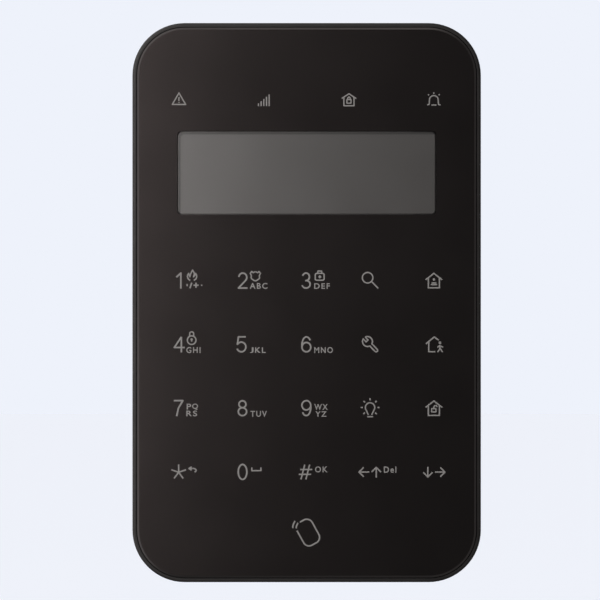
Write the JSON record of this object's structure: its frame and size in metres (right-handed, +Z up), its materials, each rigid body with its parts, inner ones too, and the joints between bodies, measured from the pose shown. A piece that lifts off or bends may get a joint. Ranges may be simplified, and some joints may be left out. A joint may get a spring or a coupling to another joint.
{
  "type": "alarm keypad panel",
  "caption": "Slim upright wall panel with rounded corners, a glossy face with a recessed display window over touch keys, and a slide-on wall bracket.",
  "frame": {"origin": "centre of the wall plane, halfway up the keypad", "axes": "+Z up the wall, +Y into the wall, so the face looks along -Y, and +X to the viewer's right"},
  "size_m": [0.0966, 0.023, 0.155],
  "materials": {
    "shell_plastic": "fine satin grain",
    "face_gloss": "high gloss",
    "window_smoked": "matt face, smoked",
    "adhesive_tape": "matt film",
    "foam": "closed-cell foam",
    "lcd_glass": "polished glass with a grey polariser",
    "diffuser": "frosted",
    "white_plastic": "satin",
    "amber_film": "polyimide film",
    "flat_cable": "satin film",
    "socket_plastic": "matt",
    "light_guide": "polished acrylic",
    "board_green": "solder mask",
    "led": "clear resin",
    "copper": "bare copper",
    "chip_black": "moulded epoxy",
    "tin_plate": "tin plated",
    "gold_wire": "gold plated",
    "green_terminal": "matt nylon",
    "cell_jacket": "printed film over a steel can",
    "spring_steel": "nickel plated",
    "wire_insulation": "satin PVC",
    "screw_steel": "zinc plated",
    "label_film": "satin film"
  },
  "bodies": {
    "bracket": {"wall_bracket": "shell_plastic"},
    "keypad": {"rear_shell": "shell_plastic", "front_shell": "shell_plastic", "face_panel": "face_gloss", "panel_adhesive": "adhesive_tape", "display_window": "window_smoked", "display_gasket": "foam", "lcd_cell": "lcd_glass", "lcd_backlight": "diffuser", "lcd_holder": "white_plastic", "lcd_ribbon": "amber_film", "lcd_socket": "socket_plastic", "light_guide": "light_guide", "touch_board": "board_green", "key_leds": "led", "tag_antenna": "copper", "main_board": "board_green", "controller_chip": "chip_black", "radio_shield": "tin_plate", "radio_antenna": "gold_wire", "board_components": "chip_black", "status_leds": "led", "status_light_pipes": "light_guide", "buzzer": "chip_black", "power_terminal": "green_terminal", "board_ribbon": "flat_cable", "ribbon_sockets": "socket_plastic", "tamper_switch": "chip_black", "tamper_spring": "spring_steel", "power_switch": "chip_black", "pairing_switch": "chip_black", "battery_1": "cell_jacket", "battery_2": "cell_jacket", "battery_3": "cell_jacket", "battery_4": "cell_jacket", "battery_springs": "spring_steel", "battery_contacts": "tin_plate", "battery_leads": "wire_insulation", "case_screws": "screw_steel", "board_screws": "screw_steel", "rating_label": "label_film"},
    "lock_screw": {"lock_screw": "screw_steel"},
    "tamper_plunger": {"tamper_plunger": "white_plastic"},
    "power_slider": {"power_slider": "white_plastic"},
    "pairing_button": {"pairing_button": "white_plastic"}
  },
  "joints": [
    {"name": "keypad_lift", "type": "slide", "parent": "bracket", "child": "keypad", "axis": [0, 0, 1], "range_m": [0, 0.006]},
    {"name": "lock_screw_out", "type": "slide", "parent": "bracket", "child": "lock_screw", "axis": [0, 0, -1], "range_m": [0, 0.0076]},
    {"name": "tamper_travel", "type": "slide", "parent": "keypad", "child": "tamper_plunger", "axis": [0, 1, 0], "range_m": [0, 0.0015], "stiffness_N_per_m": 100, "springref_m": 0.004, "deforming": ["tamper_spring"]},
    {"name": "power_switch_slide", "type": "slide", "parent": "keypad", "child": "power_slider", "axis": [1, 0, 0], "range_m": [0, 0.002]},
    {"name": "pairing_press", "type": "slide", "parent": "keypad", "child": "pairing_button", "axis": [0, -1, 0], "range_m": [0, 0.0003], "stiffness_N_per_m": 600, "springref_m": -0.0005}
  ]
}
